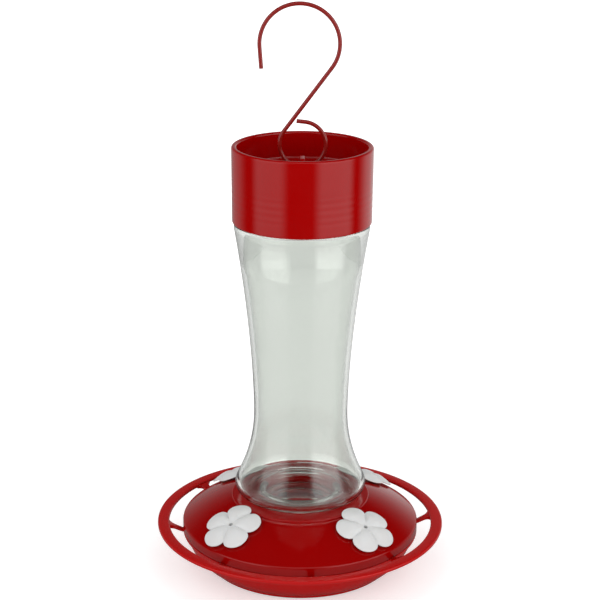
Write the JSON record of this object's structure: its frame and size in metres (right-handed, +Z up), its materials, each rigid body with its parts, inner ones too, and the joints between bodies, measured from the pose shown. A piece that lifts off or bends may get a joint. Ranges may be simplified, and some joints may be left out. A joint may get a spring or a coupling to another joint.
{
  "type": "hummingbird feeder",
  "caption": "Hanging nectar feeder: pinched glass bottle, covered dish with a perch ring and flower shaped drinking ports, a cup shaped cap and a wire hook.",
  "frame": {"origin": "on the standing plane of the foot ring, on the bottle's axis", "axes": "+Z up along the bottle's axis, +X to the right as seen from the front, -Y towards the viewer; the hook's wire lies in the XZ plane"},
  "size_m": [0.175, 0.175, 0.3431],
  "materials": {
    "red_bowl": "gloss",
    "red_cover": "gloss",
    "red_cap": "gloss",
    "clear_glass": "clear",
    "white_flower": "satin",
    "pale_silicone": "matte",
    "red_wire": "gloss"
  },
  "bodies": {
    "dish": {"base_bowl": "red_bowl"},
    "cover": {"base_cover": "red_cover"},
    "lower_seal": {"neck_seal": "pale_silicone"},
    "bottle": {"bottle": "clear_glass"},
    "upper_seal": {"cap_seal": "pale_silicone"},
    "cap": {"top_cap": "red_cap"},
    "hook": {"hanging_hook": "red_wire"},
    "port_1": {"flower_1": "white_flower"},
    "port_2": {"flower_2": "white_flower"},
    "port_3": {"flower_3": "white_flower"},
    "port_4": {"flower_4": "white_flower"}
  },
  "joints": [
    {"name": "cover_lift", "type": "slide", "parent": "dish", "child": "cover", "axis": [0, 0, 1], "range_m": [0, 0.025]},
    {"name": "bottle_lift", "type": "slide", "parent": "cover", "child": "lower_seal", "axis": [0, 0, 1], "range_m": [0, 0.0053]},
    {"name": "bottle_turn", "type": "hinge", "parent": "lower_seal", "child": "bottle", "pos_m": [0, 0, 0.0285], "axis": [0, 0, 1], "range_deg": [0, 450]},
    {"name": "cap_lift", "type": "slide", "parent": "bottle", "child": "upper_seal", "axis": [0, 0, 1], "range_m": [0, 0.0063]},
    {"name": "cap_turn", "type": "hinge", "parent": "upper_seal", "child": "cap", "pos_m": [0, 0, 0.2396], "axis": [0, 0, 1], "range_deg": [0, 450]},
    {"name": "hook_swing", "type": "hinge", "parent": "cap", "child": "hook", "pos_m": [0, 0, 0.2478], "axis": [1, 0, 0], "range_deg": [-68, 68]},
    {"name": "port_1_pull", "type": "slide", "parent": "cover", "child": "port_1", "axis": [0.3005, 0.2852, 0.9101], "range_m": [0, 0.014]},
    {"name": "port_2_pull", "type": "slide", "parent": "cover", "child": "port_2", "axis": [-0.2852, 0.3005, 0.9101], "range_m": [0, 0.014]},
    {"name": "port_3_pull", "type": "slide", "parent": "cover", "child": "port_3", "axis": [-0.3005, -0.2852, 0.9101], "range_m": [0, 0.014]},
    {"name": "port_4_pull", "type": "slide", "parent": "cover", "child": "port_4", "axis": [0.2852, -0.3005, 0.9101], "range_m": [0, 0.014]}
  ],
  "couplings": [
    {"joint": "bottle_lift", "follows": "bottle_turn", "m_per_rad": 0.00066845},
    {"joint": "cap_lift", "follows": "cap_turn", "m_per_rad": 0.00079577}
  ]
}
